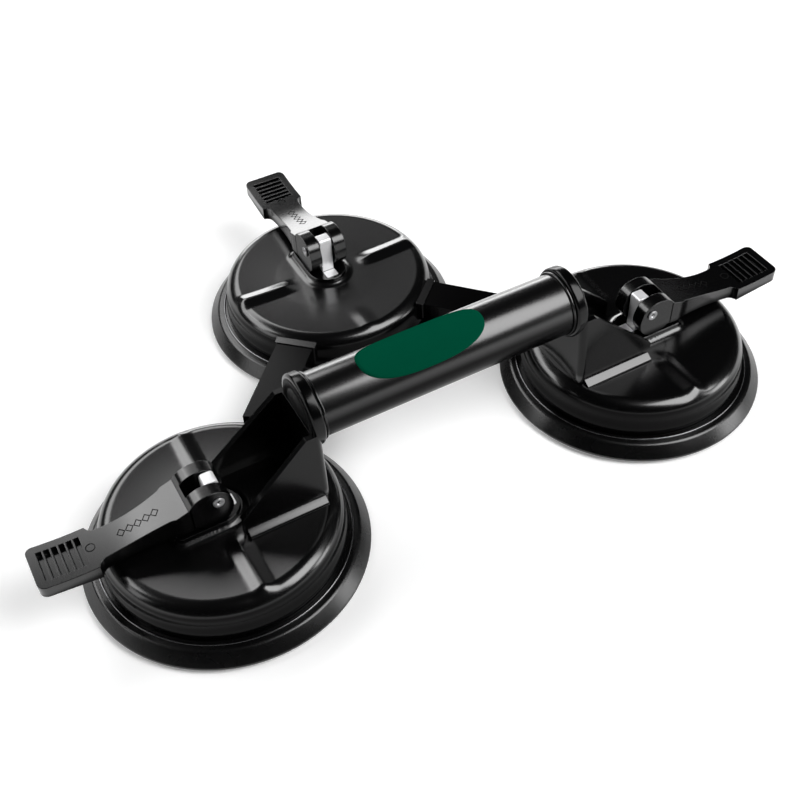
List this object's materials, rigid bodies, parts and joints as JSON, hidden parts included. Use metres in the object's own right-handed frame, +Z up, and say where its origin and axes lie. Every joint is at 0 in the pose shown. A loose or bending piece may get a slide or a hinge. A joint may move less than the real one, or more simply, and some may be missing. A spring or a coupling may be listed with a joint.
{
  "type": "suction lifter",
  "caption": "Suction lifter for floor tiles and glass: a round grip tube between cast cup housings, with rubber discs drawn up by cam levers.",
  "frame": {"origin": "on the floor under the middle of the bounding box", "axes": "+X along the grip tube, +Y from the outer row of cups towards the rear cup, +Z up"},
  "size_m": [0.347, 0.2392, 0.0742],
  "materials": {
    "housing_black": "casting, gloss black paint",
    "lever_black": "casting, gloss black paint",
    "rubber_black": "satin moulded rubber",
    "seat_black": "satin",
    "plate_steel": "zinc plated",
    "bright_steel": "bright",
    "spring_steel": "oiled spring steel",
    "tube_black": "gloss black paint",
    "ring_black": "gloss",
    "plug_black": "satin",
    "label_green": "printed film, plain"
  },
  "bodies": {
    "root": {"left_cup_housing": "housing_black", "left_rubber_disc": "rubber_black", "left_return_spring": "spring_steel", "left_cam_seat": "seat_black", "left_slide_strip": "bright_steel", "right_cup_housing": "housing_black", "right_rubber_disc": "rubber_black", "right_return_spring": "spring_steel", "right_cam_seat": "seat_black", "right_slide_strip": "bright_steel", "rear_cup_housing": "housing_black", "rear_rubber_disc": "rubber_black", "rear_return_spring": "spring_steel", "rear_cam_seat": "seat_black", "rear_slide_strip": "bright_steel", "grip_tube": "tube_black", "left_tube_ring": "ring_black", "right_tube_ring": "ring_black", "left_tube_plug": "plug_black", "right_tube_plug": "plug_black", "grip_label": "label_green", "link_screws": "spring_steel"},
    "left_draw": {"left_draw_bar": "plate_steel", "left_backing_plate": "plate_steel", "left_pivot_pin": "bright_steel"},
    "left_lever": {"left_cam_lever": "lever_black"},
    "right_draw": {"right_draw_bar": "plate_steel", "right_backing_plate": "plate_steel", "right_pivot_pin": "bright_steel"},
    "right_lever": {"right_cam_lever": "lever_black"},
    "rear_draw": {"rear_draw_bar": "plate_steel", "rear_backing_plate": "plate_steel", "rear_pivot_pin": "bright_steel"},
    "rear_lever": {"rear_cam_lever": "lever_black"}
  },
  "joints": [
    {"name": "left_draw_slide", "type": "slide", "parent": "root", "child": "left_draw", "axis": [0, 0, 1], "range_m": [-0.007, 0], "deforming": ["left_rubber_disc", "left_return_spring"]},
    {"name": "left_lever_hinge", "type": "hinge", "parent": "left_draw", "child": "left_lever", "pos_m": [-0.102, -0.0606, 0.03735], "axis": [0, 1, 0], "range_deg": [0, 95]},
    {"name": "right_draw_slide", "type": "slide", "parent": "root", "child": "right_draw", "axis": [0, 0, 1], "range_m": [-0.007, 0], "deforming": ["right_rubber_disc", "right_return_spring"]},
    {"name": "right_lever_hinge", "type": "hinge", "parent": "right_draw", "child": "right_lever", "pos_m": [0.102, -0.0606, 0.03735], "axis": [0, -1, 0], "range_deg": [0, 95]},
    {"name": "rear_draw_slide", "type": "slide", "parent": "root", "child": "rear_draw", "axis": [0, 0, 1], "range_m": [-0.007, 0], "deforming": ["rear_rubber_disc", "rear_return_spring"]},
    {"name": "rear_lever_hinge", "type": "hinge", "parent": "rear_draw", "child": "rear_lever", "pos_m": [0, 0.0481, 0.03735], "axis": [1, 0, 0], "range_deg": [0, 95]}
  ],
  "couplings": [
    {"joint": "left_draw_slide", "follows": "left_lever_hinge", "m_per_rad": -0.00422},
    {"joint": "right_draw_slide", "follows": "right_lever_hinge", "m_per_rad": -0.00422},
    {"joint": "rear_draw_slide", "follows": "rear_lever_hinge", "m_per_rad": -0.00422}
  ]
}
